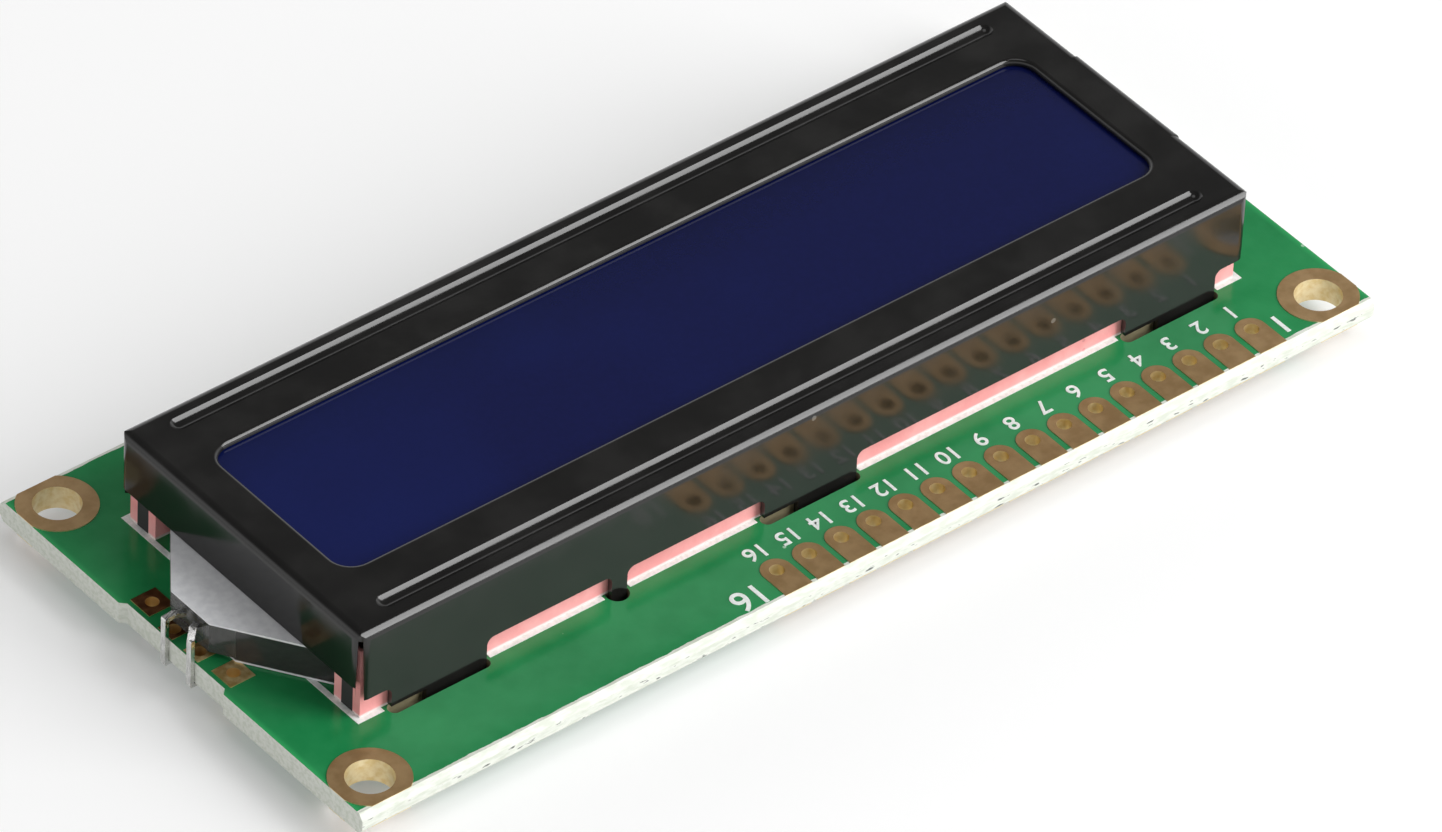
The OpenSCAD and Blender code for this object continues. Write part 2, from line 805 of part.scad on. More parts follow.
// A surface mounted part h high, along Y, with a metal end at each side
module chip(h) {
    skin = copper_t / 2;
    translate([-chip_w / 2 + skin, cap_l / 2 - chip_l / 2, -h + skin])
        cube([chip_w - 2 * skin, chip_l - cap_l, h - skin]);
    for (side = [-1, 1]) translate([-chip_w / 2, side * (chip_l - cap_l) / 2 - cap_l / 2, -h])
        cube([chip_w, cap_l, h]);
}

module resistor(i) {
    color("#202020") translate([(i - 4.5) * resistor_pitch, resistor_y, 0]) chip(resistor_h);
}

module capacitor(i) {
    color("peru") translate([(i - 2) * capacitor_pitch, capacitor_y, 0]) chip(capacitor_h);
}

printed_circuit_board();
mounting_hole_plating();
header_pads();
lamp_pads();
printed_outline();
bezel();
front_polarizer();
front_glass();
cell_seal();
fill_port_plug();
rear_glass();
rear_polarizer();
contact_strip(1);  // contact_strip_near
contact_strip(-1);  // contact_strip_far
contact_core(1);  // contact_core_near
contact_core(-1);  // contact_core_far
light_guide();
diffuser_film();
reflector_film();
nose_film();
lamp_body();
lamp_phosphor();
color("silver") lamp_leg(1);  // lamp_leg_near
color("silver") lamp_leg(-1);  // lamp_leg_far
leg_solder(1);  // leg_solder_near
leg_solder(-1);  // leg_solder_far
color("#181818") dome(-dome_x);  // controller_dome
color("#181818") dome(dome_x);  // driver_dome
color("slategray") die(-dome_x);  // controller_die
color("slategray") die(dome_x);  // driver_die
for (i = [1 : 8]) resistor(i);
for (i = [1 : 3]) capacitor(i);
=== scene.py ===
import math

import bpy
from mathutils import Matrix, Vector


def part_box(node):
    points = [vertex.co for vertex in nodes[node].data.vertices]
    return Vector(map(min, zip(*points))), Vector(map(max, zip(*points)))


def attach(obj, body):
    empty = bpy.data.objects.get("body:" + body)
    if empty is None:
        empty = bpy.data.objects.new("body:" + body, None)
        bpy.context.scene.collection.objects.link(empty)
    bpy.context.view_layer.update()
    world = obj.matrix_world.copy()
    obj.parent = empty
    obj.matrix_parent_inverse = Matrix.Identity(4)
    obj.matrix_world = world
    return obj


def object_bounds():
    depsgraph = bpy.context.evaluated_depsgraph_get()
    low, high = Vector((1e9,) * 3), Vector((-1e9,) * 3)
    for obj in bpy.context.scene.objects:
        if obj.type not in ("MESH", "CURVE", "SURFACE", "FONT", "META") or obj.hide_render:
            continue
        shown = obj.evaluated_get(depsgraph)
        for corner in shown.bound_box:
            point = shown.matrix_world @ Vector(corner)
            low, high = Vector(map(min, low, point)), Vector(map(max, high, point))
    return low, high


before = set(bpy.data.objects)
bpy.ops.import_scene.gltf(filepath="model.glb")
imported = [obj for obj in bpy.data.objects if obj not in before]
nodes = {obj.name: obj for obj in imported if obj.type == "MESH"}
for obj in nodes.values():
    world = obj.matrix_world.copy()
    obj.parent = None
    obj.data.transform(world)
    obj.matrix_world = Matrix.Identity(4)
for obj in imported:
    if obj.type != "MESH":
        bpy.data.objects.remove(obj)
cad_low, cad_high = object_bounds()

# ---------------------------------------------------------------- circuit board
# A glass-fibre laminate board under a glossy green solder mask. It is scored and broken out of
# a larger panel along its long edges, where the mask stops short and the pale laminate shows
# its dark fibre ends, and it is milled along its short edges, in its slots and in its holes.

MM = 0.001


def paint(red, green, blue):
    """A colour mixed in the usual 0 to 255 steps, as the linear values that a material takes."""
    mixed = []
    for step in (red, green, blue):
        level = step / 255
        mixed.append(level / 12.92 if level <= 0.04045 else ((level + 0.055) / 1.055) ** 2.4)
    return (*mixed, 1)


def add(tree, kind, inputs=None, **settings):
    """Adds a node to a material or a group, with its settings, and sets or wires its inputs."""
    made = tree.nodes.new(kind)
    for name, value in settings.items():
        setattr(made, name, value)
    for name, value in (inputs or {}).items():
        if isinstance(value, bpy.types.NodeSocket):
            tree.links.new(value, made.inputs[name])
        else:
            made.inputs[name].default_value = value
    return made


def reckon(tree, operation, first, second=0.0, third=0.0):
    """One sum on up to three values."""
    return add(
        tree, "ShaderNodeMath", {0: first, 1: second, 2: third}, operation=operation
    ).outputs[0]


def fade(tree, value, low, high, bottom=0.0, top=1.0):
    """Goes softly from bottom to top while value goes from low to high."""
    return add(
        tree,
        "ShaderNodeMapRange",
        {"Value": value, 1: low, 2: high, 3: bottom, 4: top},
        interpolation_type="SMOOTHSTEP",
    ).outputs[0]


def over(tree, mask, below, above):
    """Lays one colour over another where the mask is 1."""
    return add(
        tree, "ShaderNodeMix", {0: mask, 6: below, 7: above}, data_type="RGBA"
    ).outputs[2]


def place_on(tree):
    """Where a point lies on the piece, in metres, and which way its surface faces."""
    place = add(tree, "ShaderNodeTexCoord")
    return place.outputs["Object"], place.outputs["Normal"]


def axes(tree, vector):
    """The three parts of a place or a direction."""
    parts = add(tree, "ShaderNodeSeparateXYZ", {0: vector})
    return parts.outputs[0], parts.outputs[1], parts.outputs[2]


def specks(tree, place, scale, detail=2.0, rough=0.5):
    """Plain cloudy noise from 0 to 1."""
    return add(
        tree,
        "ShaderNodeTexNoise",
        {"Vector": place, "Scale": scale, "Detail": detail, "Roughness": rough},
    ).outputs["Fac"]


def new_group(name, inputs, outputs):
    """An empty group with named inputs, each with its value, and named outputs."""
    group = bpy.data.node_groups.new(name, "ShaderNodeTree")
    for title, kind, value in inputs:
        socket = group.interface.new_socket(title, in_out="INPUT", socket_type=kind)
        if value is not None:
            socket.default_value = value
    for title, kind in outputs:
        group.interface.new_socket(title, in_out="OUTPUT", socket_type=kind)
    return group, group.nodes.new("NodeGroupInput"), group.nodes.new("NodeGroupOutput")


def new_finish(name, **constants):
    """A new material: its tree and its shader, whose constant sockets are set here."""
    finish = bpy.data.materials.new(name)
    finish.use_nodes = True
    tree = finish.node_tree
    shader = tree.nodes["Principled BSDF"]
    for socket, value in constants.items():
        shader.inputs[socket.replace("_", " ")].default_value = value
    return finish, tree, shader


def bump(tree, shader, height, depth, strength=1.0):
    """Raises the surface by height, from 0 to 1, times a depth in metres."""
    made = add(
        tree, "ShaderNodeBump", {"Height": height, "Distance": depth, "Strength": strength}
    )
    tree.links.new(made.outputs[0], shader.inputs["Normal"])


def dress(name, finish):
    """Gives a node of the model its material."""
    body = nodes[name]
    body.data.materials.clear()
    body.data.materials.append(finish)


# Loose dust: small sparse round specks, used on all the dark and glossy surfaces
dust, dust_in, dust_out = new_group(
    "dust",
    [
        ("Place", "NodeSocketVector", None),
        ("Specks in a metre", "NodeSocketFloat", 900.0),
        ("Size", "NodeSocketFloat", 0.12),
        ("Share kept", "NodeSocketFloat", 0.1),
    ],
    [("Mask", "NodeSocketFloat")],
)
grains = add(
    dust, "ShaderNodeTexVoronoi", {"Vector": dust_in.outputs[0], "Scale": dust_in.outputs[1]}
)
grain_pick = axes(dust, grains.outputs["Color"])[0]
grain_kept = reckon(dust, "LESS_THAN", grain_pick, dust_in.outputs[3])
grain_r = reckon(dust, "MULTIPLY", dust_in.outputs[2], axes(dust, grains.outputs["Color"])[1])
grain_on = reckon(dust, "LESS_THAN", grains.outputs["Distance"], grain_r)
dust.links.new(reckon(dust, "MULTIPLY", grain_kept, grain_on), dust_out.inputs[0])

# Unevenness of a sprayed, poured or rolled surface: slow waves and a fine grain, as a height
flow, flow_in, flow_out = new_group(
    "flow_marks",
    [
        ("Place", "NodeSocketVector", None),
        ("Wave scale", "NodeSocketFloat", 300.0),
        ("Grain scale", "NodeSocketFloat", 4000.0),
        ("Grain share", "NodeSocketFloat", 0.25),
    ],
    [("Height", "NodeSocketFloat")],
)
waves = add(flow, "ShaderNodeTexNoise", {"Vector": flow_in.outputs[0], "Scale": flow_in.outputs[1]})
grain = add(flow, "ShaderNodeTexNoise", {"Vector": flow_in.outputs[0], "Scale": flow_in.outputs[2]})
flow.links.new(
    reckon(
        flow, "MULTIPLY_ADD", grain.outputs["Fac"], flow_in.outputs[3], waves.outputs["Fac"]
    ),
    flow_out.inputs[0],
)


def dust_on(tree, place, scale, size, share):
    return add(
        tree,
        "ShaderNodeGroup",
        {"Place": place, "Specks in a metre": scale, "Size": size, "Share kept": share},
        node_tree=dust,
    ).outputs[0]


def flow_on(tree, place, waves_scale, grain_scale, share):
    return add(
        tree,
        "ShaderNodeGroup",
        {
            "Place": place,
            "Wave scale": waves_scale,
            "Grain scale": grain_scale,
            "Grain share": share,
        },
        node_tree=flow,
    ).outputs[0]


board_low, board_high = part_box("printed_circuit_board")
mask_end = board_high.y - 0.55 * MM

board_finish, tree, skin = new_finish("board_mask_and_laminate", IOR=1.5, Coat_Roughness=0.12)
place, facing = place_on(tree)
x, y, z = axes(tree, place)
face_x, face_y, face_z = axes(tree, facing)
flat = reckon(tree, "GREATER_THAN", reckon(tree, "ABSOLUTE", face_z), 0.9)
edge_wave = specks(tree, place, 900.0, 3.0)
mask_reach = reckon(tree, "MULTIPLY_ADD", edge_wave, -0.25 * MM, mask_end + 0.12 * MM)
masked = reckon(tree, "LESS_THAN", reckon(tree, "ABSOLUTE", y), mask_reach)
masked = reckon(tree, "MULTIPLY", masked, flat)
# the mask: deep green, cloudy where it lies thinner, lighter where it thins out at the board's edge
clouds = fade(tree, specks(tree, place, 130.0, 3.0), 0.35, 0.68)
fine_clouds = fade(tree, specks(tree, place, 650.0, 4.0), 0.3, 0.75)
green = over(tree, clouds, paint(27, 126, 70), paint(42, 141, 82))
green = over(tree, reckon(tree, "MULTIPLY", fine_clouds, 0.25), green, paint(52, 150, 92))
rim = fade(tree, reckon(tree, "ABSOLUTE", x), board_high.x - 0.5 * MM, board_high.x)
green = over(tree, reckon(tree, "MULTIPLY", rim, 0.5), green, paint(60, 178, 104))
motes = dust_on(tree, place, 700.0, 0.11, 0.12)
green = over(tree, reckon(tree, "MULTIPLY", motes, 0.6), green, paint(190, 220, 196))
# the laminate: pale resin, with short dark fibre ends along the broken long edges
stretch = add(tree, "ShaderNodeMapping", {"Vector": place, "Scale": (900.0, 3000.0, 3600.0)})
fibres = add(
    tree, "ShaderNodeTexNoise", {"Vector": stretch.outputs[0], "Scale": 1.0, "Detail": 3.0}
).outputs["Fac"]
fibre_marks = fade(tree, fibres, 0.6, 0.68)
broken = reckon(tree, "GREATER_THAN", reckon(tree, "ABSOLUTE", face_y), 0.9)
outer_y = reckon(tree, "GREATER_THAN", reckon(tree, "ABSOLUTE", y), board_high.y - 0.02 * MM)
broken = reckon(tree, "MULTIPLY", broken, outer_y)
resin = over(tree, fade(tree, fibres, 0.35, 0.6), paint(206, 211, 198), paint(222, 225, 216))
resin = over(tree, reckon(tree, "MULTIPLY", fibre_marks, broken), resin, paint(92, 96, 92))
inside = reckon(tree, "LESS_THAN", reckon(tree, "ABSOLUTE", y), board_high.y - 1.2 * MM)
inside_x = reckon(tree, "LESS_THAN", reckon(tree, "ABSOLUTE", x), board_high.x - 1.2 * MM)
milled = reckon(tree, "MULTIPLY", inside, inside_x)
resin = over(tree, milled, resin, over(tree, fibres, paint(120, 112, 84), paint(176, 166, 132)))
tree.links.new(over(tree, masked, resin, green), skin.inputs["Base Color"])
tree.links.new(fade(tree, masked, 0, 1, 0.62, 0.2), skin.inputs["Roughness"])
lift = reckon(tree, "MULTIPLY", masked, 0.6)
lift = reckon(tree, "ADD", lift, flow_on(tree, place, 420.0, 2600.0, 0.3))
lift = reckon(tree, "ADD", lift, reckon(tree, "MULTIPLY", fibres, broken))
bump(tree, skin, lift, 0.02 * MM)
dress("printed_circuit_board", board_finish)

# ---------------------------------------------------------------- plated holes and pads
# Copper rings, pads and hole walls under a thin gold finish. Those at the mounting holes and
# the row of connection holes are dull on their faces, and their hole walls take a much brighter
# gold as a painted glint; the ones by the lamp are darker on the near side of the lamp's middle
# than on the far side.

plating_finish, tree, metal = new_finish("gold_plated_copper", Metallic=0.75, IOR=1.6)
place, facing = place_on(tree)
flat = reckon(tree, "GREATER_THAN", reckon(tree, "ABSOLUTE", axes(tree, facing)[2]), 0.5)
wear = fade(tree, specks(tree, place, 900.0, 4.0), 0.3, 0.7)
ring_colour = over(tree, wear, paint(168, 136, 92), paint(188, 156, 112))
# painted glint: the hole walls take a much brighter gold than the faces, standing in for light caught inside
# the holes
glint_wall_mottle = fade(tree, specks(tree, place, 2200.0, 3.0), 0.3, 0.7)
glint_wall_colour_painted = over(tree, glint_wall_mottle, paint(232, 208, 150), paint(246, 230, 188))
tree.links.new(over(tree, flat, glint_wall_colour_painted, ring_colour), metal.inputs["Base Color"])
tree.links.new(fade(tree, flat, 0, 1, 0.3, 0.5), metal.inputs["Roughness"])
bump(tree, metal, flow_on(tree, place, 700.0, 5000.0, 0.6), 0.012 * MM)
dress("mounting_hole_plating", plating_finish)
dress("header_pads", plating_finish)

lamp_pad_finish, tree, metal = new_finish("lamp_pad_plating", Metallic=0.75, IOR=1.6)
place, facing = place_on(tree)
x, y, z = axes(tree, place)
flat = reckon(tree, "GREATER_THAN", reckon(tree, "ABSOLUTE", axes(tree, facing)[2]), 0.5)
lamp_centre_y = (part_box("lamp_body")[0].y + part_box("lamp_body")[1].y) / 2
near_side = reckon(tree, "GREATER_THAN", y, lamp_centre_y)
wear = fade(tree, specks(tree, place, 1500.0, 3.0), 0.35, 0.65)
dull = over(tree, wear, paint(96, 56, 26), paint(122, 78, 38))
bright = over(tree, wear, paint(206, 170, 104), paint(232, 208, 152))
pad_colour = over(tree, near_side, dull, bright)
# painted glint: the hole walls take a bright gold, standing in for light caught inside the holes; the faces
# are darker on the near side of the lamp's middle than on the far side
tree.links.new(
    over(tree, flat, paint(238, 206, 144), pad_colour), metal.inputs["Base Color"]
)
tree.links.new(fade(tree, wear, 0, 1, 0.3, 0.45), metal.inputs["Roughness"])
bump(tree, metal, flow_on(tree, place, 900.0, 5000.0, 0.5), 0.012 * MM)
dress("lamp_pads", lamp_pad_finish)

# ---------------------------------------------------------------- printed line and numbers
# White ink screened on the mask: a line around the bezel's foot, a number beside each
# connection hole, and a larger one at each end of the row.

ink_finish, tree, ink = new_finish("white_printing_ink", IOR=1.5)
place, facing = place_on(tree)
screen = fade(tree, specks(tree, place, 3500.0, 3.0), 0.2, 0.75)
tree.links.new(over(tree, screen, paint(216, 226, 220), paint(244, 247, 245)), ink.inputs["Base Color"])
ink.inputs["Roughness"].default_value = 0.55
bump(tree, ink, screen, 0.01 * MM)
dress("printed_outline", ink_finish)

pads_low, pads_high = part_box("header_pads")
line_low, line_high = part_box("printed_outline")
pin_count = 16
pin_pitch = 2.54 * MM
pin_pad_w = (pads_high.x - pads_low.x) - (pin_count - 1) * pin_pitch
pin_x0 = pads_low.x + pin_pad_w / 2
ink_t = line_high.z - line_low.z


def printed_number(number, middle, height):
    """A number in ink, standing upright towards the edge with the connection holes."""
    bpy.ops.object.select_all(action="DESELECT")
    bpy.ops.object.text_add(location=(0, 0, 0))
    label = bpy.context.object
    label.data.body = str(number)
    label.data.align_x = "CENTER"
    label.data.align_y = "CENTER"
    label.data.size = height * 1.42
    label.data.extrude = ink_t / 2
    label.data.resolution_u = 6
    label.data.offset = 0.02 * MM
    bpy.ops.object.convert(target="MESH")
    label = bpy.context.object
    label.name = f"printed_number_{number}_{'large' if height > 1.5 * MM else 'small'}"
    label.data.transform(Matrix.Translation((middle[0], middle[1], line_low.z + ink_t / 2)))
    label.data.materials.clear()
    label.data.materials.append(ink_finish)
    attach(label, "root")
    return label


for pin in range(pin_count):
    printed_number(pin + 1, (pin_x0 + pin * pin_pitch, 13.4 * MM), 1.2 * MM)
printed_number(1, (-33.8 * MM, 16.1 * MM), 1.7 * MM)
printed_number(16, (9.0 * MM, 16.4 * MM), 1.8 * MM)

# ---------------------------------------------------------------- light guide and its films
# A clear cast acrylic panel that narrows to a nose at the lamp, between a white reflecting
# film on the board, a diffusing film under the cell and a white film that covers the nose.

film_finish, tree, film = new_finish("white_film", IOR=1.5, Subsurface_Weight=0.0)
place, facing = place_on(tree)
fibre = fade(tree, specks(tree, place, 1800.0, 4.0), 0.25, 0.75)
tree.links.new(over(tree, fibre, paint(220, 221, 224), paint(234, 235, 237)), film.inputs["Base Color"])
film.inputs["Roughness"].default_value = 0.5
bump(tree, film, flow_on(tree, place, 300.0, 2500.0, 0.3), 0.015 * MM)
dress("reflector_film", film_finish)
dress("diffuser_film", film_finish)
dress("nose_film", film_finish)

acrylic_finish, tree, acrylic = new_finish(
    "clear_acrylic", IOR=1.49, Transmission_Weight=0.96, Metallic=0.0
)
place, facing = place_on(tree)
haze = fade(tree, specks(tree, place, 500.0, 3.0), 0.3, 0.7)
tree.links.new(over(tree, haze, paint(246, 246, 240), paint(252, 252, 250)), acrylic.inputs["Base Color"])
tree.links.new(fade(tree, haze, 0, 1, 0.04, 0.12), acrylic.inputs["Roughness"])
bump(tree, acrylic, flow_on(tree, place, 350.0, 2500.0, 0.15), 0.01 * MM)
dress("light_guide", acrylic_finish)

# ---------------------------------------------------------------- lamp
# A side-shining lamp of clear epoxy cast around a lead frame, with a cup of yellow phosphor
# that faces the guide. Its two tinned legs run over the board's edge and are soldered under it.

lamp_finish, tree, epoxy = new_finish(
    "clear_epoxy", IOR=1.52, Transmission_Weight=0.92, Metallic=0.0
)
place, facing = place_on(tree)
haze = fade(tree, specks(tree, place, 900.0, 3.0), 0.3, 0.7)
tree.links.new(over(tree, haze, paint(206, 208, 202), paint(232, 233, 228)), epoxy.inputs["Base Color"])
tree.links.new(fade(tree, haze, 0, 1, 0.06, 0.16), epoxy.inputs["Roughness"])
bump(tree, epoxy, flow_on(tree, place, 900.0, 5000.0, 0.2), 0.02 * MM)
dress("lamp_body", lamp_finish)

phosphor_finish, tree, phosphor = new_finish("yellow_phosphor", IOR=1.5)
place, facing = place_on(tree)
powder = fade(tree, specks(tree, place, 5000.0, 4.0), 0.3, 0.7)
tree.links.new(over(tree, powder, paint(214, 196, 96), paint(236, 224, 140)), phosphor.inputs["Base Color"])
phosphor.inputs["Roughness"].default_value = 0.7
bump(tree, phosphor, powder, 0.02 * MM)
dress("lamp_phosphor", phosphor_finish)

leg_finish, tree, tin = new_finish("tinned_legs", Metallic=1.0)
place, facing = place_on(tree)
drawn = add(tree, "ShaderNodeMapping", {"Vector": place, "Scale": (1.0, 4.0, 1.0)})
lines = fade(tree, specks(tree, drawn.outputs[0], 1600.0, 3.0), 0.3, 0.7)
tree.links.new(over(tree, lines, paint(196, 196, 194), paint(232, 232, 230)), tin.inputs["Base Color"])
tree.links.new(fade(tree, lines, 0, 1, 0.16, 0.32), tin.inputs["Roughness"])
bump(tree, tin, flow_on(tree, place, 1500.0, 6000.0, 0.3), 0.02 * MM)
dress("lamp_leg_near", leg_finish)
dress("lamp_leg_far", leg_finish)

solder_finish, tree, solder = new_finish("solder", Metallic=1.0)
place, facing = place_on(tree)
frost = fade(tree, specks(tree, place, 2500.0, 4.0), 0.35, 0.7)
tree.links.new(over(tree, frost, paint(206, 207, 208), paint(226, 226, 226)), solder.inputs["Base Color"])
tree.links.new(fade(tree, frost, 0, 1, 0.18, 0.42), solder.inputs["Roughness"])
bump(tree, solder, flow_on(tree, place, 1600.0, 7000.0, 0.2), 0.02 * MM)
dress("leg_solder_near", solder_finish)
dress("leg_solder_far", solder_finish)

# ---------------------------------------------------------------- contact strips
# Two strips of pink silicone rubber with carbon layers too fine to see, cut from sheet and
# pressed between the board and the glass by the bezel.

rubber_finish, tree, rubber = new_finish("pink_silicone", IOR=1.42)
place, facing = place_on(tree)
x, y, z = axes(tree, place)
blush = fade(tree, specks(tree, place, 500.0, 4.0), 0.3, 0.72)
pink = over(tree, blush, paint(240, 156, 156), paint(250, 176, 175))
strip_low, strip_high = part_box("contact_strip_near")
foot = fade(tree, z, strip_low.z + 0.25 * MM, strip_low.z + 0.1 * MM)
pink = over(tree, reckon(tree, "MULTIPLY", foot, 0.75), pink, paint(236, 232, 228))
motes = dust_on(tree, place, 900.0, 0.14, 0.2)
pink = over(tree, reckon(tree, "MULTIPLY", motes, 0.5), pink, paint(206, 120, 122))
tree.links.new(pink, rubber.inputs["Base Color"])
rubber.inputs["Roughness"].default_value = 0.6
bump(tree, rubber, flow_on(tree, place, 800.0, 6000.0, 0.5), 0.02 * MM)
dress("contact_strip_near", rubber_finish)
dress("contact_strip_far", rubber_finish)

# ---------------------------------------------------------------- display cell
# Two glass plates joined at a seal, with the filling port closed by a bead of resin. A dark
# blue polarizing film lies on each outer face, and only the front one shows in the window.

glass_finish, tree, glass = new_finish(
    "clear_glass", IOR=1.52, Transmission_Weight=1.0, Metallic=0.0
)
place, facing = place_on(tree)
tint = fade(tree, specks(tree, place, 300.0, 2.0), 0.3, 0.7)
tree.links.new(over(tree, tint, paint(232, 242, 236), paint(240, 247, 243)), glass.inputs["Base Color"])
tree.links.new(fade(tree, tint, 0, 1, 0.02, 0.05), glass.inputs["Roughness"])
dress("front_glass", glass_finish)
dress("rear_glass", glass_finish)

seal_finish, tree, resin_seal = new_finish("cell_seal_resin", IOR=1.5)
place, facing = place_on(tree)
paste = fade(tree, specks(tree, place, 2500.0, 3.0), 0.3, 0.7)
tree.links.new(over(tree, paste, paint(94, 92, 88), paint(122, 120, 114)), resin_seal.inputs["Base Color"])
resin_seal.inputs["Roughness"].default_value = 0.5
dress("cell_seal", seal_finish)
dress("fill_port_plug", seal_finish)

display_finish, tree, polar = new_finish("dark_blue_display", IOR=1.49)
place, facing = place_on(tree)
x, y, z = axes(tree, place)
window_low, window_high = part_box("front_polarizer")
cell_middle_y = (window_low.y + window_high.y) / 2
tilt = specks(tree, place, 45.0, 2.0)
patch = fade(tree, tilt, 0.42, 0.66)
blue = over(tree, patch, paint(11, 18, 66), paint(13, 24, 78))
# painted dark reflection: the blue is darkened towards the far edge of the window
far_dark_reflection_painted = fade(tree, y, cell_middle_y - 1.5 * MM, window_low.y + 1.5 * MM)
blue = over(tree, reckon(tree, "MULTIPLY", far_dark_reflection_painted, 0.35), blue, paint(6, 12, 44))
grid = fade(tree, specks(tree, place, 2600.0, 3.0), 0.3, 0.75)
blue = over(tree, reckon(tree, "MULTIPLY", grid, 0.16), blue, paint(20, 26, 86))
motes = dust_on(tree, place, 260.0, 0.06, 0.2)
blue = over(tree, reckon(tree, "MULTIPLY", motes, 0.35), blue, paint(120, 130, 150))
tree.links.new(blue, polar.inputs["Base Color"])
polar.inputs["Roughness"].default_value = 0.14
bump(tree, polar, flow_on(tree, place, 90.0, 3000.0, 0.05), 0.01 * MM)
dress("front_polarizer", display_finish)
dress("rear_polarizer", display_finish)

# ---------------------------------------------------------------- bezel
# A frame pressed and folded from sheet steel and finished in glossy black. Its face holds the
# cell down on the contact strips, and its tabs go through the board and are twisted under it.

steel_finish, tree, black = new_finish("glossy_black_steel", IOR=1.5)
place, facing = place_on(tree)
x, y, z = axes(tree, place)
face_x, face_y, face_z = axes(tree, facing)
cloud = fade(tree, specks(tree, place, 260.0, 4.0), 0.3, 0.75)
lacquer = over(tree, cloud, (0.0085, 0.0082, 0.0078, 1), (0.013, 0.0125, 0.0118, 1))
motes = dust_on(tree, place, 520.0, 0.1, 0.16)
lacquer = over(tree, reckon(tree, "MULTIPLY", motes, 0.35), lacquer, paint(150, 148, 142))
tree.links.new(lacquer, black.inputs["Base Color"])
tree.links.new(fade(tree, cloud, 0, 1, 0.13, 0.2), black.inputs["Roughness"])
bump(tree, black, flow_on(tree, place, 650.0, 5200.0, 0.18), 0.004 * MM)
dress("bezel", steel_finish)

# ---------------------------------------------------------------- parts on the underside
# Two bare chips under poured black epoxy, a row of resistors and three capacitors. The small
# parts are fired ceramic with metal ends, and sit on soldered pads.

dome_finish, tree, pour = new_finish("black_epoxy", IOR=1.55)
place, facing = place_on(tree)
cloud = fade(tree, specks(tree, place, 420.0, 4.0), 0.3, 0.75)
tree.links.new(over(tree, cloud, paint(20, 20, 21), paint(34, 34, 35)), pour.inputs["Base Color"])
tree.links.new(fade(tree, cloud, 0, 1, 0.28, 0.5), pour.inputs["Roughness"])
bump(tree, pour, flow_on(tree, place, 260.0, 3500.0, 0.12), 0.12 * MM)
dress("controller_dome", dome_finish)
dress("driver_dome", dome_finish)

silicon_finish, tree, chip = new_finish("silicon", Metallic=0.3, IOR=1.6)
place, facing = place_on(tree)
lanes = fade(tree, specks(tree, place, 4000.0, 2.0), 0.4, 0.6)
tree.links.new(over(tree, lanes, paint(70, 72, 82), paint(110, 112, 124)), chip.inputs["Base Color"])
chip.inputs["Roughness"].default_value = 0.25
dress("controller_die", silicon_finish)
dress("driver_die", silicon_finish)


def ceramic_finish(name, middle_y, body_dark, body_light):
    """Ceramic with a metal end towards each side, told apart by how far a point is from the row's middle."""
    finish, tree, ceramic = new_finish(name, IOR=1.5)
    place, facing = place_on(tree)
    x, y, z = axes(tree, place)
    cap_from = 0.6 * MM
    away = reckon(tree, "ABSOLUTE", reckon(tree, "SUBTRACT", y, middle_y))
    metal_end = reckon(tree, "GREATER_THAN", away, cap_from)
    speckle = fade(tree, specks(tree, place, 3500.0, 4.0), 0.3, 0.7)
    body = over(tree, speckle, body_dark, body_light)
    end = over(tree, speckle, paint(188, 188, 186), paint(218, 218, 214))
    tree.links.new(over(tree, metal_end, body, end), ceramic.inputs["Base Color"])
    tree.links.new(metal_end, ceramic.inputs["Metallic"])
    tree.links.new(fade(tree, metal_end, 0, 1, 0.45, 0.3), ceramic.inputs["Roughness"])
    bump(tree, ceramic, speckle, 0.01 * MM)
    return finish


for kind, count, dark, light in (
    ("resistor", 8, paint(22, 22, 24), paint(34, 34, 36)),
    ("capacitor", 3, paint(150, 112, 74), paint(176, 138, 98)),
):
    low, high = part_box(f"{kind}_1")
    finish = ceramic_finish(f"{kind}_ceramic", (low.y + high.y) / 2, dark, light)
    for number in range(1, count + 1):
        dress(f"{kind}_{number}", finish)

# ---------------------------------------------------------------- camera, light and floor
# The camera looks down at the corner by the lamp. One tall soft light stands to the side of
# the connection holes, over a pale floor and in a pale room that is dim overhead.

turn, tilt_up, roll = (math.radians(angle) for angle in (139.1326, 40.5398, 2.8038))
aim = Vector((-0.2665, 2.2433, 1.6)) * MM
reach = 876.62 * MM
back = Vector(
    (
        math.sin(turn) * math.cos(tilt_up),
        -math.cos(turn) * math.cos(tilt_up),
        math.sin(tilt_up),
    )
)
level = (-back).cross(Vector((0, 0, 1))).normalized()
upright = level.cross(-back)
right = math.cos(roll) * level + math.sin(roll) * upright
up = -math.sin(roll) * level + math.cos(roll) * upright
camera_data = bpy.data.cameras.new("camera")
camera_data.lens = 355.36
camera_data.sensor_width = 36
camera_data.clip_start = 0.01
camera_data.clip_end = 20
camera = bpy.data.objects.new("camera", camera_data)
bpy.context.scene.collection.objects.link(camera)
seat = Matrix((right, up, back)).transposed().to_4x4()
seat.translation = aim + back * reach
camera.matrix_world = seat
bpy.context.scene.camera = camera

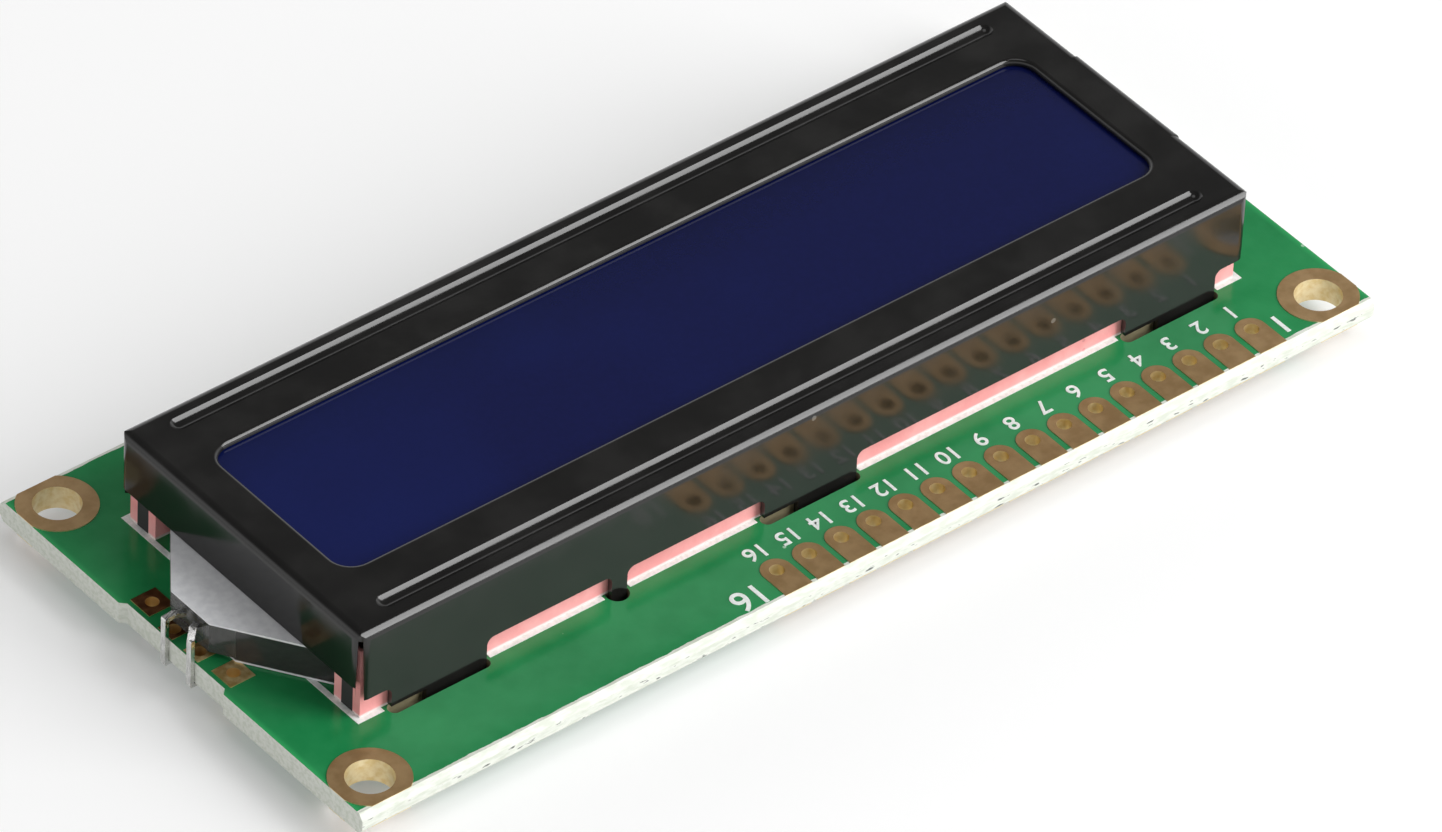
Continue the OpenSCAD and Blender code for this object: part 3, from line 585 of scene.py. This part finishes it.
softbox_data = bpy.data.lights.new("softbox", "AREA")
softbox_data.shape = "RECTANGLE"
softbox_data.size = 0.45
softbox_data.size_y = 0.7
softbox_data.energy = 7.2
softbox = bpy.data.objects.new("softbox", softbox_data)
bpy.context.scene.collection.objects.link(softbox)
light_turn, light_tilt = math.atan2(0.79, -0.61), math.radians(35)
towards_light = Vector(
    (
        math.cos(light_turn) * math.cos(light_tilt),
        math.sin(light_turn) * math.cos(light_tilt),
        math.sin(light_tilt),
    )
)
softbox.location = towards_light * 0.8
softbox.rotation_euler = towards_light.to_track_quat("Z", "Y").to_euler()

world = bpy.data.worlds.new("room")
bpy.context.scene.world = world
world.use_nodes = True
room = world.node_tree
direction = add(room, "ShaderNodeTexCoord").outputs["Generated"]
rise = axes(room, direction)[2]
low_wall = fade(room, rise, 0.36, 0.66, 1.0, 0.11)
overhead = fade(room, rise, 0.955, 0.975, 0.0, 1.4)
glow = reckon(room, "ADD", low_wall, overhead)
room.links.new(glow, room.nodes["Background"].inputs["Strength"])
room.nodes["Background"].inputs["Color"].default_value = (1, 1, 1, 1)

bpy.ops.object.select_all(action="DESELECT")
bpy.ops.mesh.primitive_plane_add(size=6, location=(0, 0, cad_low[2]))
floor = bpy.context.object
floor.name = "floor"
floor_finish = bpy.data.materials.new("pale_floor")
floor_finish.use_nodes = True
tree = floor_finish.node_tree
ground = tree.nodes["Principled BSDF"]
ground.inputs["Base Color"].default_value = (0.8, 0.8, 0.8, 1)
ground.inputs["Roughness"].default_value = 1.0
ground.inputs["Specular IOR Level"].default_value = 0.0
ray = add(tree, "ShaderNodeLightPath")
seen = reckon(tree, "MAXIMUM", ray.outputs["Is Camera Ray"], ray.outputs["Is Glossy Ray"])
seen = reckon(tree, "MAXIMUM", seen, ray.outputs["Is Transmission Ray"])
ground.inputs["Emission Color"].default_value = (1, 1, 1, 1)
tree.links.new(
    reckon(tree, "MULTIPLY", seen, 0.2), ground.inputs["Emission Strength"]
)
floor.data.materials.append(floor_finish)

bpy.context.scene.view_settings.view_transform = "Standard"
